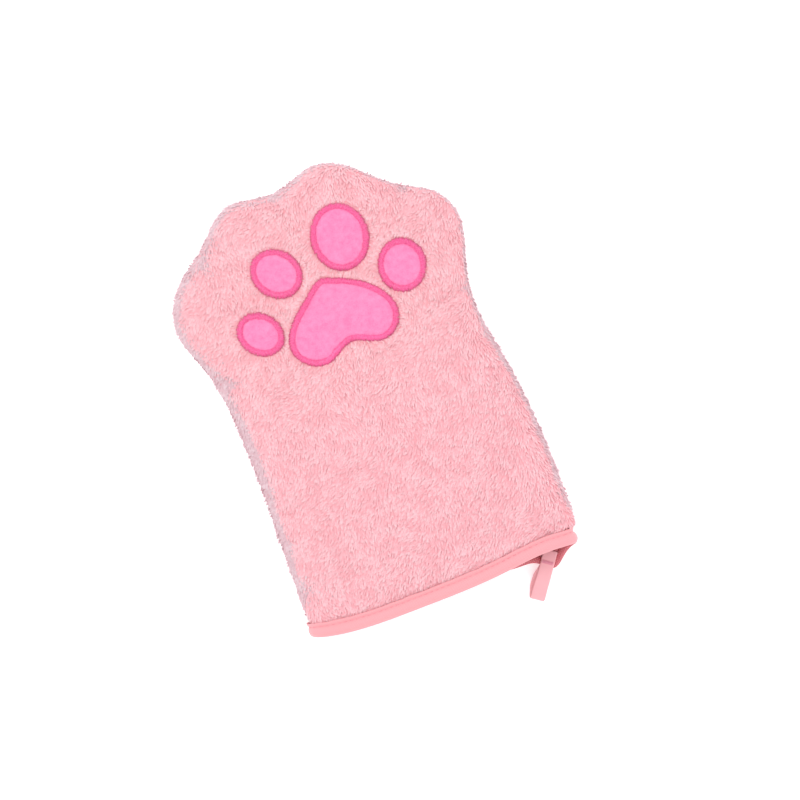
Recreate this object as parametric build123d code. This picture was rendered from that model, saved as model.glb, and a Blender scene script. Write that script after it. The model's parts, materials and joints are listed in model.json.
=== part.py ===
from build123d import *
import os
from math import asin, atan2, cos, degrees, hypot, radians, sin

# A plush wash-and-dry mitt for a pet, shaped like a paw. It lies on its back panel.
# X runs across the hand, Y from the hem to the toes, and Z up out of the palm face.
# All lengths are in mm. Shapes are drawn from the middle of the hem, and each one is
# moved at the end, so that the origin is under the middle of the mitt.

MITT_LENGTH = 250.0          # hem to the longest toe
MITT_HEIGHT = 22.0           # both walls and the pocket, lying flat
WALL = 5.5                   # knitted base and its pile
RIM_RADIUS = 9.0             # the rounded edge of each panel
SEAM_HEIGHT = MITT_HEIGHT / 2

# The side and toe edge, from the hem's left corner round the four toes to its right corner.
MITT_EDGE = [
    (-81.5, 0), (-80, 30), (-77, 70), (-74.5, 120), (-75, 146), (-80, 173),    # left side
    (-85, 192), (-77, 214),                                                    # outer left toe
    (-53, 233), (-33, 247.5), (-6, 244.5), (22, 250),                          # two middle toes
    (45, 236), (61, 221.5), (77, 211),                                         # the right valley
    (84.5, 192), (79, 171), (73.6, 143), (75.9, 120), (79.7, 75), (79, 35), (77, 0),
]
EDGE_OVERRUN = 20.0          # the drawn edge runs on past the hem, and is trimmed there
EDGE_STEPS = 60              # how finely the edge is followed when it is drawn smaller

# The hem of each wall. The back one dips where the hanging loop pulls on it.
FRONT_HEM = [(-92, 17), (-81, 11.5), (-52, 5), (-20, 3.2), (30, 3), (58, 4.2), (75, 2.4), (90, 2)]
BACK_HEM = [(-92, 17), (-81, 11.5), (-55, 4.4), (-20, 3), (25, 2.8), (41, 0.9), (49.8, -1.0),
            (56.6, -7.6), (64, -2.9), (75, 2.2), (90, 2)]

# The hem is a thin tongue of the wall, and the binding tape is folded over it.
MOUTH_WIDTH = 156.0
MOUTH_HEIGHT = 20.8
MOUTH_CENTRE_X = -3.5
MOUTH_CORNER = 8.0
TAPE_THICKNESS = 0.9
TAPE_WIDTH = 8.0
TONGUE_THICKNESS = 2.2

# The topstitch that holds the binding, near the tape's upper edge.
STITCH_LENGTH = 3.0
STITCH_PITCH = 4.0
STITCH_WIDTH = 0.5
STITCH_HEIGHT = 0.3
STITCH_INSET = 2.0
STITCH_REACH = 68.0          # how far the rows run from the middle of the mouth

# The overlocked allowance of the side seam, inside the pocket.
SEAM_ALLOWANCE = 5.0
SEAM_THICKNESS = 2.0

# The paw motif. Each pad is a smooth patch, and a satin-stitched ring covers its edge.
BORDER_WIDTH = 3.3
PAD_RECESS = 2.0
PAD_THICKNESS = 1.2
BORDER_THICKNESS = 1.7
PALM_PAD_EDGE = [
    (2.5, 189.5), (17, 182.5), (28.5, 172), (33, 160.5), (28.5, 149.5), (17.5, 146),
    (2.5, 151.5), (-13, 145.5), (-25.5, 150), (-30, 161), (-24.5, 172.5), (-12, 183),
]
PALM_PAD_STEPS = 36
# Each toe pad: centre X and Y, half length, half width, and lean to the left of the Y axis.
TOE_PADS = {
    "outer_left": (-42.0, 174.6, 13.7, 11.4, 37.0),
    "inner_left": (-21.0, 201.8, 14.9, 13.0, 36.0),
    "inner_right": (18.8, 206.9, 18.7, 16.1, -7.6),
    "outer_right": (44.3, 179.6, 14.8, 13.3, -16.0),
}
BACKING_SIZE = (110.0, 84.0)
BACKING_CENTRE = (2.0, 178.0)
BACKING_CORNER = 20.0
BACKING_THICKNESS = 0.4

# The hanging loop is a tape folded double, and its two ends are sewn inside the back hem.
LOOP_WIDTH = 8.0
LOOP_TAPE = 1.0
LOOP_HINGE = (51.4, -7.0)
LOOP_TIP = (41.2, -20.3)
LOOP_ROOT_RADIUS = 1.1
LOOP_FOLD_RADIUS = 1.9
LOOP_GAP_START = 3.5         # where the two layers part, from the hinge
LOOP_CLEARANCE = 0.4
FLOOR_CLEARANCE = 0.05
TAB_LENGTH = 7.1
TAB_THICKNESS = 2.2
BARTACK = (6.6, 1.6, 0.5)

ORIGIN_SHIFT = Pos(0, -MITT_LENGTH / 2, 0)


def export(shape, node):
    """Write one sub-part, moved so that the origin is under the middle of the mitt."""
    export_step(ORIGIN_SHIFT * shape, f"parts/{node}.step")


def slab(face, bottom, top):
    """A flat face drawn on the floor, as a solid between two heights."""
    return extrude(Pos(0, 0, bottom) * face, top - bottom, dir=(0, 0, 1))


def mitt_face(inset):
    """The mitt's plan, smaller by inset all round, with its open end below the hem."""
    drawn = Spline(*MITT_EDGE)
    moved = []
    for step in range(EDGE_STEPS + 1):
        along = step / EDGE_STEPS
        tangent = drawn % along
        inward = Vector(tangent.Y, -tangent.X, 0)
        moved.append(drawn @ along + inward * inset)
    edge = Spline(*moved)
    left_end = edge @ 0 - Vector(0, EDGE_OVERRUN, 0)
    right_end = edge @ 1 - Vector(0, EDGE_OVERRUN, 0)
    sides = Line(left_end, edge @ 0) + edge + Line(edge @ 1, right_end) + Line(right_end, left_end)
    return make_face(sides)


def hem_band(hem, below, above, bottom, top):
    """The space along a hem, from below to above its curve, between two heights."""
    lower = Spline(*[(x, y + below) for x, y in hem])
    upper = Spline(*[(x, y + above) for x, y in hem])
    sides = lower + Line(lower @ 1, upper @ 1) + upper + Line(upper @ 0, lower @ 0)
    return slab(make_face(sides), bottom, top)


def mouth_tube(inset):
    """The mouth's rounded section, smaller by inset all round, run along Y past the hem."""
    width = MOUTH_WIDTH - 2 * inset
    height = MOUTH_HEIGHT - 2 * inset
    section = RectangleRounded(width, height, MOUTH_CORNER - inset)
    place = Plane(origin=(MOUTH_CENTRE_X, 0, SEAM_HEIGHT), x_dir=(1, 0, 0), z_dir=(0, -1, 0))
    return extrude(place * section, 60, both=True)


def palm_pad_face(inset):
    """The palm pad's plan, smaller by inset all round."""
    drawn = Spline(*PALM_PAD_EDGE, periodic=True)
    moved = []
    for step in range(PALM_PAD_STEPS):
        along = step / PALM_PAD_STEPS
        tangent = drawn % along
        inward = Vector(tangent.Y, -tangent.X, 0)
        moved.append(drawn @ along + inward * inset)
    return make_face(Spline(*moved, periodic=True))


def toe_pad_face(toe, inset):
    """One toe pad's plan, smaller by inset all round."""
    x, y, half_length, half_width, lean = TOE_PADS[toe]
    return Pos(x, y) * Rot(0, 0, lean) * Ellipse(half_width - inset, half_length - inset)


def motif_faces(inset):
    """Every pad's plan, smaller by inset all round, by node name."""
    faces = {"palm_pad": palm_pad_face(inset)}
    for toe in TOE_PADS:
        faces[f"toe_pad_{toe}"] = toe_pad_face(toe, inset)
    return faces


def outer_rim(face, bottom, top, edge_height):
    """One panel's outer form: a slab whose edge is rounded at edge_height, hem end apart."""
    solid = slab(face, bottom, top)
    rim = solid.edges().filter_by(lambda edge: abs(edge.center().Z - edge_height) < 0.01)
    hem_end = rim.sort_by(Axis.Y)[0]
    return fillet([edge for edge in rim if edge != hem_end], RIM_RADIUS)


def panel(hem, bottom, top, edge_height, pocket_bottom, pocket_top, tongue):
    """One wall: hollowed for the hand, cut at the tape's edge, with its tongue under the tape."""
    form = outer_rim(mitt_face(0), bottom, top, edge_height)
    hollow = slab(mitt_face(WALL), pocket_bottom, pocket_top)
    below_tape = hem_band(hem, -3 * EDGE_OVERRUN, TAPE_WIDTH, bottom - 1, top + 1)
    return form - hollow - below_tape + (tongue & hem_band(hem, 0, TAPE_WIDTH, bottom, top))


def binding_half(hem, bottom, top, tongue):
    """The tape over one hem: an outer leg, an inner leg and the fold under the edge."""
    tape = mouth_tube(0) - mouth_tube(2 * TAPE_THICKNESS + TONGUE_THICKNESS)
    band = hem_band(hem, -TAPE_THICKNESS, TAPE_WIDTH, bottom, top)
    return (tape & band) - (tongue & hem_band(hem, 0, 2 * TAPE_WIDTH, bottom, top))


def stitch_row(hem, height):
    """A row of stitches along one leg of the tape, lying with their undersides at height."""
    line = Spline(*[(x, y + TAPE_WIDTH - STITCH_INSET) for x, y in hem])
    stitches = []
    count = int(2 * STITCH_REACH / STITCH_PITCH)
    for index in range(count):
        x = MOUTH_CENTRE_X - STITCH_REACH + (index + 0.5) * STITCH_PITCH
        along = line.param_at_point(line.intersect(Axis((x, -50, 0), (0, 1, 0))).vertices()[0])
        point = line @ along
        tangent = line % along
        turn = degrees(atan2(tangent.Y, tangent.X))
        stitch = Box(STITCH_LENGTH, STITCH_WIDTH, STITCH_HEIGHT)
        stitches.append(Pos(point.X, point.Y, height + STITCH_HEIGHT / 2) * Rot(0, 0, turn) * stitch)
    return stitches


def loop_place(tilt):
    """The loop's own plane: X from the hinge to the tip, Y up, Z along the hinge."""
    run_x = LOOP_TIP[0] - LOOP_HINGE[0]
    run_y = LOOP_TIP[1] - LOOP_HINGE[1]
    run = hypot(run_x, run_y)
    flat = Vector(run_x / run, run_y / run, 0)
    along = flat * cos(tilt) - Vector(0, 0, 1) * sin(tilt)
    hinge_axis = Vector(flat.Y, -flat.X, 0)
    return Plane(origin=(*LOOP_HINGE, HINGE_HEIGHT), x_dir=along, z_dir=hinge_axis)


def hull_outline(start_x, start_radius, end_x, end_radius):
    """Two circles on the loop's middle line and the space between them."""
    return make_hull((Pos(start_x, 0) * Circle(start_radius)).edges()
                     + (Pos(end_x, 0) * Circle(end_radius)).edges())


os.makedirs("parts", exist_ok=True)

TONGUE = mouth_tube(TAPE_THICKNESS) - mouth_tube(TAPE_THICKNESS + TONGUE_THICKNESS)
MOUTH_TOP = SEAM_HEIGHT + MOUTH_HEIGHT / 2
MOUTH_BOTTOM = SEAM_HEIGHT - MOUTH_HEIGHT / 2
LEG_STACK = 2 * TAPE_THICKNESS + TONGUE_THICKNESS
HINGE_HEIGHT = MOUTH_BOTTOM + LEG_STACK + TAB_THICKNESS / 2

# The two walls meet at the side seam, halfway up.
motif = motif_faces(0)
front = panel(FRONT_HEM, SEAM_HEIGHT, MITT_HEIGHT, MITT_HEIGHT,
              SEAM_HEIGHT, MITT_HEIGHT - WALL, TONGUE)
for ring_edge in motif.values():
    front -= slab(ring_edge, MITT_HEIGHT - PAD_RECESS, MITT_HEIGHT + 1)
export(front, "front_panel")
back = panel(BACK_HEM, 0, SEAM_HEIGHT, 0, WALL, SEAM_HEIGHT, TONGUE)
export(back, "back_panel")

# The side seam's allowances, overlocked together and turned into the pocket.
allowance = mitt_face(WALL) - mitt_face(WALL + SEAM_ALLOWANCE)
seam_bottom = SEAM_HEIGHT - SEAM_THICKNESS / 2
seam_top = SEAM_HEIGHT + SEAM_THICKNESS / 2
side_seam = slab(allowance, seam_bottom, seam_top)
for hem in (FRONT_HEM, BACK_HEM):
    side_seam -= hem_band(hem, -3 * EDGE_OVERRUN, TAPE_WIDTH, seam_bottom - 1, seam_top + 1)
export(side_seam, "side_seam")

# The binding tape goes all round the mouth, over both hems.
binding = (binding_half(FRONT_HEM, SEAM_HEIGHT, MITT_HEIGHT, TONGUE)
           + binding_half(BACK_HEM, 0, SEAM_HEIGHT, TONGUE))
export(binding, "mouth_binding")

# Its topstitch shows on the outer leg over both hems.
stitches = []
stitches += stitch_row(FRONT_HEM, MOUTH_TOP)
stitches += stitch_row(BACK_HEM, MOUTH_BOTTOM - STITCH_HEIGHT)
export(Compound(stitches), "binding_stitching")

# The motif: a patch and its ring in each recess of the front wall, and the stabiliser behind it.
recess_floor = MITT_HEIGHT - PAD_RECESS
for name, patch in motif_faces(BORDER_WIDTH).items():
    export(slab(patch, recess_floor, recess_floor + PAD_THICKNESS), name)
    export(slab(motif[name] - patch, recess_floor, recess_floor + BORDER_THICKNESS), f"{name}_border")
backing = Pos(*BACKING_CENTRE) * RectangleRounded(*BACKING_SIZE, BACKING_CORNER)
export(slab(backing, MITT_HEIGHT - WALL - BACKING_THICKNESS, MITT_HEIGHT - WALL), "embroidery_backing")

# The hanging loop swings at the edge of the back hem. At rest its fold lies on the floor.
loop_run = hypot(LOOP_TIP[0] - LOOP_HINGE[0], LOOP_TIP[1] - LOOP_HINGE[1])
fold_x = loop_run - LOOP_FOLD_RADIUS
droop = asin((HINGE_HEIGHT - LOOP_FOLD_RADIUS - FLOOR_CLEARANCE) / fold_x)
outline = hull_outline(0, LOOP_ROOT_RADIUS, fold_x, LOOP_FOLD_RADIUS)
gap = hull_outline(LOOP_GAP_START, LOOP_ROOT_RADIUS - LOOP_TAPE, fold_x, LOOP_FOLD_RADIUS - LOOP_TAPE)
loop = extrude(loop_place(droop) * (outline - gap), LOOP_WIDTH / 2, both=True)
export(loop, "hanging_loop")

# Its two sewn ends lie flat on the inner leg of the back binding, with a bar tack across them.
tab_near = LOOP_ROOT_RADIUS + LOOP_CLEARANCE
tab_centre = -(tab_near + TAB_LENGTH / 2)
tab = loop_place(0) * Pos(tab_centre, 0) * Box(TAB_LENGTH, TAB_THICKNESS, LOOP_WIDTH)
export(tab, "loop_tab")
tack_place = Pos(tab_centre, (TAB_THICKNESS + BARTACK[2]) / 2)
bartack = loop_place(0) * tack_place * Box(BARTACK[1], BARTACK[2], BARTACK[0])
export(bartack, "loop_bartack")

print("hinge at", LOOP_HINGE[0], LOOP_HINGE[1] - MITT_LENGTH / 2, HINGE_HEIGHT)
print("droop", round(degrees(droop), 2), "degrees")
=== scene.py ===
# %% [markdown]
# # A plush paw mitt, piece by piece
#
# A grooming mitt is sewn goods: two walls of plush fleece, a taped hem, an embroidered paw and
# a hanging loop. Nothing in it is hard, so nearly every part of the frame gets a soft piece in
# its place. The frame says where each one goes, and this script never guesses a position.

# %% The frame
import json
import math

import bmesh
import bpy
import numpy as np
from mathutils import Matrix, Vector, noise
from mathutils.bvhtree import BVHTree

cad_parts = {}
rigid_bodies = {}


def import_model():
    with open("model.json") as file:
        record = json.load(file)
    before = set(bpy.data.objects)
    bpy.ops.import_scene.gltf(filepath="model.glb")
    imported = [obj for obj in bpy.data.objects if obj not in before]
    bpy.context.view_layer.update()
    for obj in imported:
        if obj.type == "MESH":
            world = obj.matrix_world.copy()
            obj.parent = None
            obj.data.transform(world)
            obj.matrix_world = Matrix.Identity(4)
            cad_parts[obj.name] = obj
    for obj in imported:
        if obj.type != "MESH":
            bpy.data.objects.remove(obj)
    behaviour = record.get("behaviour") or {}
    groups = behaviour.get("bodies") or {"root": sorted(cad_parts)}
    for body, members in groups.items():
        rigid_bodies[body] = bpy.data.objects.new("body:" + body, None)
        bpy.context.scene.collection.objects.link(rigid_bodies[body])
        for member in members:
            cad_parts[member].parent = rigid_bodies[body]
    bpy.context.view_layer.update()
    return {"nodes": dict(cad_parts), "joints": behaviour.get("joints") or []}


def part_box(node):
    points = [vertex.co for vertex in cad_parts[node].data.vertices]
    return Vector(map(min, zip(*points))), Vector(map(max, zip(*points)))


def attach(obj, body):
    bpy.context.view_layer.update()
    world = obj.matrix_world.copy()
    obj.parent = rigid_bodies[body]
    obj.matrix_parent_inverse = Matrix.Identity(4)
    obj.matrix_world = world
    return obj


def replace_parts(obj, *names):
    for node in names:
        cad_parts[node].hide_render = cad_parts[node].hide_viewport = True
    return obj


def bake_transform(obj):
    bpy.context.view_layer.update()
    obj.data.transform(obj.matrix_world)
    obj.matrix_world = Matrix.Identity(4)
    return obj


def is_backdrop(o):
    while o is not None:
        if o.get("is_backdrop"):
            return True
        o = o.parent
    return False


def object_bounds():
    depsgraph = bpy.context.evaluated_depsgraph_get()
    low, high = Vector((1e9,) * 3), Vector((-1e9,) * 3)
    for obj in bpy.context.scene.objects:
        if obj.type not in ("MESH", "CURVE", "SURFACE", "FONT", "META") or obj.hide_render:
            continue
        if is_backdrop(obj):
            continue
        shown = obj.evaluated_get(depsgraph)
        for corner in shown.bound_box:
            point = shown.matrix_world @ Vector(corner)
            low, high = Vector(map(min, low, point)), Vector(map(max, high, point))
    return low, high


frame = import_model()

MM = 0.001

# %% [markdown]
# ## Camera
#
# The mitt lies on a table and is looked at from straight above, with the toes leaning to the
# left. A long lens from a metre away keeps the far rim as large as the near one. Turning the
# camera about its own line of sight gives the lean, so the mitt itself stays square to the axes.

# %% Camera
TOES_LEFT = math.radians(23)
EYE_HEIGHT = 1.10
VIEW_WIDTH = 0.4415
VIEW_CENTRE = (0.0143, -0.0132)
seam_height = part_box("front_panel")[0].z

bpy.ops.object.camera_add(location=(*VIEW_CENTRE, seam_height + EYE_HEIGHT), rotation=(0, 0, -TOES_LEFT))
camera = bpy.context.object
camera.data.lens = camera.data.sensor_width * EYE_HEIGHT / VIEW_WIDTH
bpy.context.scene.camera = camera
print("lens", round(camera.data.lens, 1), "mm")

# %% [markdown]
# ## Small helpers
#
# Colours are written as the sRGB hex values a dyer's card would give, and one function turns
# them to the linear values that the shader mixes. Another adds a node with its settings and its
# links in one line, for shader trees and geometry trees alike. The rest take care of selection
# and edit mode, which every operator depends on.

# %% Helpers for colours, nodes and selection
def linear(code):
    """An sRGB hex colour as linear red, green, blue and alpha."""
    parts = [int(code[i:i + 2], 16) / 255 for i in (0, 2, 4)]
    return (*[c / 12.92 if c <= 0.04045 else ((c + 0.055) / 1.055) ** 2.4 for c in parts], 1)


def add_node(tree, kind, inputs=None, **settings):
    """One node, with its settings set and each input given a value or linked from a socket."""
    made = tree.nodes.new(kind)
    for name, value in settings.items():
        setattr(made, name, value)
    for name, value in (inputs or {}).items():
        if isinstance(value, bpy.types.NodeSocket):
            tree.links.new(value, made.inputs[name])
        else:
            made.inputs[name].default_value = value
    return made


def deselect():
    """Nothing selected, so that the next operator acts on its own object alone."""
    if bpy.context.object and bpy.context.object.mode != "OBJECT":
        bpy.ops.object.mode_set(mode="OBJECT")
    bpy.ops.object.select_all(action="DESELECT")


def only(piece):
    """This piece selected and active, and nothing else."""
    deselect()
    piece.select_set(True)
    bpy.context.view_layer.objects.active = piece
    return piece


def edit_whole(piece, *steps):
    """Edit-mode steps done in turn on the whole of a piece."""
    only(piece)
    bpy.ops.object.mode_set(mode="EDIT")
    bpy.ops.mesh.select_all(action="SELECT")
    for step in steps:
        step()
    bpy.ops.object.mode_set(mode="OBJECT")
    return piece


def face_outwards():
    """In edit mode: the selected faces turned to point out of their own shape."""
    bpy.ops.mesh.normals_make_consistent(inside=False)


def copy_of(piece, name):
    """A copy with its own mesh."""
    made = piece.copy()
    made.data = piece.data.copy()
    made.name = made.data.name = name
    bpy.context.scene.collection.objects.link(made)
    return made


def apply_modifier(piece, kind, **settings):
    """A modifier added, set and applied in one step."""
    only(piece)
    modifier = piece.modifiers.new(kind.title(), kind)
    for name, value in settings.items():
        setattr(modifier, name, value)
    bpy.ops.object.modifier_apply(modifier=modifier.name)
    return piece


def points_of(piece):
    """The piece's vertices as an array with one row each."""
    found = np.empty(len(piece.data.vertices) * 3)
    piece.data.vertices.foreach_get("co", found)
    return found.reshape(-1, 3)


def set_points(piece, points):
    """Puts the piece's vertices where the array says."""
    piece.data.vertices.foreach_set("co", np.asarray(points, dtype=float).ravel())
    piece.data.update()
    return piece


def grid(name, columns, rows, material):
    """A flat grid one unit wide and long, from (0, 0) to (1, 1), to be shaped by a formula."""
    deselect()
    bpy.ops.mesh.primitive_grid_add(x_subdivisions=columns, y_subdivisions=rows, size=1,
                                    location=(0.5, 0.5, 0), calc_uvs=True)
    bpy.ops.object.transform_apply(location=True)
    piece = bpy.context.object
    piece.name = piece.data.name = name
    piece.data.materials.append(material)
    return piece


def smooth(piece, angle=180):
    """Shaded smooth, apart from edges sharper than angle."""
    only(piece)
    bpy.ops.object.shade_smooth_by_angle(angle=math.radians(angle))
    return piece


def mix(low, high, share):
    """Between low and high, by share from 0 to 1."""
    return low + (high - low) * share


def ease(value):
    """0 below 0, 1 above 1, and a soft S between."""
    held = np.clip(value, 0, 1)
    return held * held * (3 - 2 * held)


# %% [markdown]
# ## Finishes
#
# ** Plush fleece** is polyester pile, cut and brushed into ragged locks. The fibre is matt with a
# faint sheen at grazing angles. Each lock gets three plain shades of one pink: a darker root,
# painted shade where the locks shade each other, a body, and a paler tip, painted light where
# the tips catch the lamps. So the eye reads the pile's direction. Two greyer shades are painted
# sheen, for the locks by the seam, which are seen from the side.

# %% Plush shades
def principled(name, colour, roughness, **sockets):
    """A material with only its main shader, its plain values on the shader's own sockets."""
    material = bpy.data.materials.new(name)
    material.use_nodes = True
    shader = material.node_tree.nodes["Principled BSDF"]
    shader.inputs["Base Color"].default_value = linear(colour)
    shader.inputs["Roughness"].default_value = roughness
    for socket, value in sockets.items():
        shader.inputs[socket.replace("_", " ")].default_value = value
    return material


def raise_by(material, height, strength, distance):
    """The pattern raised in the shading by distance."""
    tree = material.node_tree
    bump = add_node(tree, "ShaderNodeBump", {"Height": height, "Strength": strength, "Distance": distance})
    tree.links.new(bump.outputs["Normal"], tree.nodes["Principled BSDF"].inputs["Normal"])


FIBRE_WIDTH = 0.25 * MM


def fibre_bump(material, spacing, strength, distance):
    """Fine fibres raised in the shading, spacing apart."""
    tree = material.node_tree
    place = add_node(tree, "ShaderNodeTexCoord").outputs["Object"]
    fibres = add_node(tree, "ShaderNodeTexNoise", {"Vector": place, "Scale": 1 / spacing, "Detail": 3})
    raise_by(material, fibres.outputs["Fac"], strength, distance)


# Root shades are darker, painted shade; tip shades are paler, painted light; the two rim shades are painted
# sheen.
PLUSH_SHADES = {
    "plush_root": "EFB0B8",
    "plush_body": "F0B8C0",
    "plush_body_warm": "F0B1B9",
    "plush_body_pale": "F1BEC5",
    "plush_tip": "F2C1C8",
    "plush_tip_pale": "F3C8CE",
    "plush_rim_painted_sheen": "DAB7BF",
    "plush_rim_painted_sheen_pale": "DFC4CB",
}
plush = {}
for shade, code in PLUSH_SHADES.items():
    plush[shade] = principled(shade, code, 0.9, Sheen_Weight=0.2 if "rim" in shade else 0.12,
                              Sheen_Roughness=0.4, Specular_IOR_Level=0.1)
    fibre_bump(plush[shade], FIBRE_WIDTH, 0.2, 0.1 * MM)
print(len(plush), "plush shades")


# %% [markdown]
# The other finishes are patterned, and every pattern's scale is a real size. **Knit backing**
# is the plush fabric's wrong side, a jersey with loops about a millimetre apart; its dark salmon
# is partly the jersey's own deeper pink and partly painted shade, for the inside of the mitt.
# **Velour** is a very short dense pile that goes lighter and darker as it is stroked. **Rayon
# thread** is glossy along its length; a darker copy of it is painted shade, where it goes down
# into the cloth. **Binding and loop tape** are woven, with a rib on the slant. **Spun
# polyester**, for the seams, is duller than rayon.

# %% Patterned finishes
def two_tone(material, pattern, dark, light, edge=0.2):
    """The base colour runs from dark to light as the pattern passes its middle, give or take edge."""
    tree = material.node_tree
    ramp = add_node(tree, "ShaderNodeValToRGB", {"Fac": pattern})
    ramp.color_ramp.elements[0].color = linear(dark)
    ramp.color_ramp.elements[0].position = 0.5 - edge
    ramp.color_ramp.elements[1].color = linear(light)
    ramp.color_ramp.elements[1].position = 0.5 + edge
    tree.links.new(ramp.outputs["Color"], tree.nodes["Principled BSDF"].inputs["Base Color"])


def knit_finish(name, dark, light, spacing):
    """Jersey: rows of loops, spacing apart, a little uneven."""
    material = principled(name, light, 0.9, Sheen_Weight=0.3)
    tree = material.node_tree
    place = add_node(tree, "ShaderNodeTexCoord").outputs["Object"]
    wales = add_node(tree, "ShaderNodeTexWave", {"Vector": place, "Scale": 0.314 / spacing,
                     "Distortion": 1.5, "Detail": 2, "Detail Scale": 2}, bands_direction="X")
    courses = add_node(tree, "ShaderNodeTexWave", {"Vector": place, "Scale": 0.314 / spacing,
                       "Distortion": 2.5, "Detail": 2, "Detail Scale": 2}, bands_direction="Y")
    loops = add_node(tree, "ShaderNodeMath", {0: wales.outputs["Fac"], 1: courses.outputs["Fac"]},
                     operation="MULTIPLY")
    two_tone(material, loops.outputs[0], dark, light)
    raise_by(material, loops.outputs[0], 0.8, 0.3 * MM)
    return material


def velour_finish(name, dark, light, stroke, nap):
    """Short pile: broad strokes of lighter and darker nap, and a fine grain."""
    material = principled(name, light, 0.75, Sheen_Weight=0.5, Sheen_Roughness=0.35,
                          Specular_IOR_Level=0.3)
    tree = material.node_tree
    place = add_node(tree, "ShaderNodeTexCoord").outputs["Object"]
    strokes = add_node(tree, "ShaderNodeTexNoise", {"Vector": place, "Scale": 1 / stroke, "Detail": 2})
    grain = add_node(tree, "ShaderNodeTexNoise", {"Vector": place, "Scale": 1 / nap, "Detail": 4,
                                                  "Roughness": 0.65})
    both = add_node(tree, "ShaderNodeMath", {0: strokes.outputs["Fac"], 1: grain.outputs["Fac"]},
                    operation="ADD")
    half = add_node(tree, "ShaderNodeMath", {0: both.outputs[0], 1: 0.5}, operation="MULTIPLY")
    two_tone(material, half.outputs[0], dark, light, 0.14)
    raise_by(material, grain.outputs["Fac"], 0.6, 0.15 * MM)
    return material


def woven_finish(name, dark, light, pick, roughness=0.6):
    """A narrow woven tape read from its own UV map, in metres: slanting ribs, pick apart."""
    material = principled(name, light, roughness, Sheen_Weight=0.25, Specular_IOR_Level=0.35)
    tree = material.node_tree
    place = add_node(tree, "ShaderNodeUVMap", uv_map="weave").outputs["UV"]
    ribs = add_node(tree, "ShaderNodeTexWave", {"Vector": place, "Scale": 0.314 / pick,
                    "Distortion": 0.6, "Detail": 1}, bands_direction="DIAGONAL")
    warp = add_node(tree, "ShaderNodeTexWave", {"Vector": place, "Scale": 0.314 / pick,
                    "Distortion": 0.4, "Detail": 1}, bands_direction="Y")
    weave = add_node(tree, "ShaderNodeMath", {0: ribs.outputs["Fac"], 1: warp.outputs["Fac"]},
                     operation="MULTIPLY")
    two_tone(material, weave.outputs[0], dark, light)
    raise_by(material, weave.outputs[0], 0.5, 0.12 * MM)
    return material


def thread_finish(name, dark, light, roughness, grain):
    """Spun or filament thread: its shade changes a little from stitch to stitch."""
    material = principled(name, light, roughness, Sheen_Weight=0.2, Specular_IOR_Level=0.5)
    tree = material.node_tree
    place = add_node(tree, "ShaderNodeTexCoord").outputs["Object"]
    mottle = add_node(tree, "ShaderNodeTexNoise", {"Vector": place, "Scale": 1 / grain, "Detail": 2})
    two_tone(material, mottle.outputs["Fac"], dark, light)
    raise_by(material, mottle.outputs["Fac"], 0.3, 0.05 * MM)
    return material


plush_ground = velour_finish("plush_ground_cloth", "F3A8B1", "F8B6BD", 6 * MM, 0.8 * MM)
# Knit backing: its darker salmon is partly its own colour and partly painted shade of the mitt's inside.
backing_knit_and_painted_shade = knit_finish("jersey_backing_and_painted_shade", "C9606A", "E88F96", 1.1 * MM)
pad_velour = velour_finish("short_pile_velour", "F579AA", "FE90BC", 3 * MM, 0.8 * MM)
satin_thread = thread_finish("rayon_satin_thread", "E8528F", "FB74AE", 0.38, 0.9 * MM)
# The thread's darker copy is painted shade, where it goes down into the cloth.
satin_painted_shade = thread_finish("rayon_thread_painted_shade", "DB4380", "EA5C96", 0.5, 0.9 * MM)
binding_weave = woven_finish("polyester_binding_tape", "F29EA5", "FAB1B6", 0.55 * MM)
loop_weave = woven_finish("polyester_loop_tape", "F0ABB2", "FAC0C6", 0.6 * MM)
seam_thread = thread_finish("spun_polyester_thread", "D98592", "E79BA7", 0.6, 0.7 * MM)
tack_thread = thread_finish("bar_tack_thread", "E68CA4", "F2AABB", 0.5, 0.7 * MM)
overlock_knit = knit_finish("overlocked_allowance", "B9636A", "DA8D94", 0.9 * MM)
nonwoven = velour_finish("tearaway_nonwoven", "E3D8D6", "F4EEEC", 4 * MM, 0.6 * MM)
print(len(bpy.data.materials), "materials")

# %% [markdown]
# ## Reading the mitt's edge off the frame
#
# The frame's walls are plain solids, but their edge is the true one. Rays sent in from outside
# find it at any height, so the cloth can follow it without a list of points. A row of points is
# then spread evenly along its length, which keeps the cloth's squares square.

# %% The edge and the mouth
def surface_of(*names):
    """A search tree over these frame parts' surfaces."""
    points, faces = [], []
    for name in names:
        mesh = frame["nodes"][name].data
        start = len(points)
        points += [vertex.co.copy() for vertex in mesh.vertices]
        faces += [[start + corner for corner in face.vertices] for face in mesh.polygons]
    return BVHTree.FromPolygons(points, faces)


def run_along(line):
    """How far along a line each of its points lies."""
    steps = np.linalg.norm(np.diff(line, axis=0), axis=1)
    return np.concatenate([[0], np.cumsum(steps)])


def read_off(line, wanted, run=None):
    """A line's rows read off at the wanted places along run, or at shares of an even one."""
    run = np.linspace(0, 1, len(line)) if run is None else run
    return np.stack([np.interp(wanted, run, column) for column in line.T], axis=1)


def spread(line, count):
    """The same line through count points, evenly spaced."""
    run = run_along(line)
    return read_off(line, np.linspace(0, run[-1], count), run)


FAR = 0.4
JUST_ABOVE_SEAM = 0.5 * MM
walls = surface_of("front_panel", "back_panel")
tape_low, tape_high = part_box("mouth_binding")


def edge_at(angle):
    """Where the mitt's edge lies in this direction from its middle, beside the side seam."""
    away = Vector((math.cos(angle), math.sin(angle), 0))
    start = away * FAR + Vector((0, 0, seam_height + JUST_ABOVE_SEAM))
    return walls.ray_cast(start, -away)[0]


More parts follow.
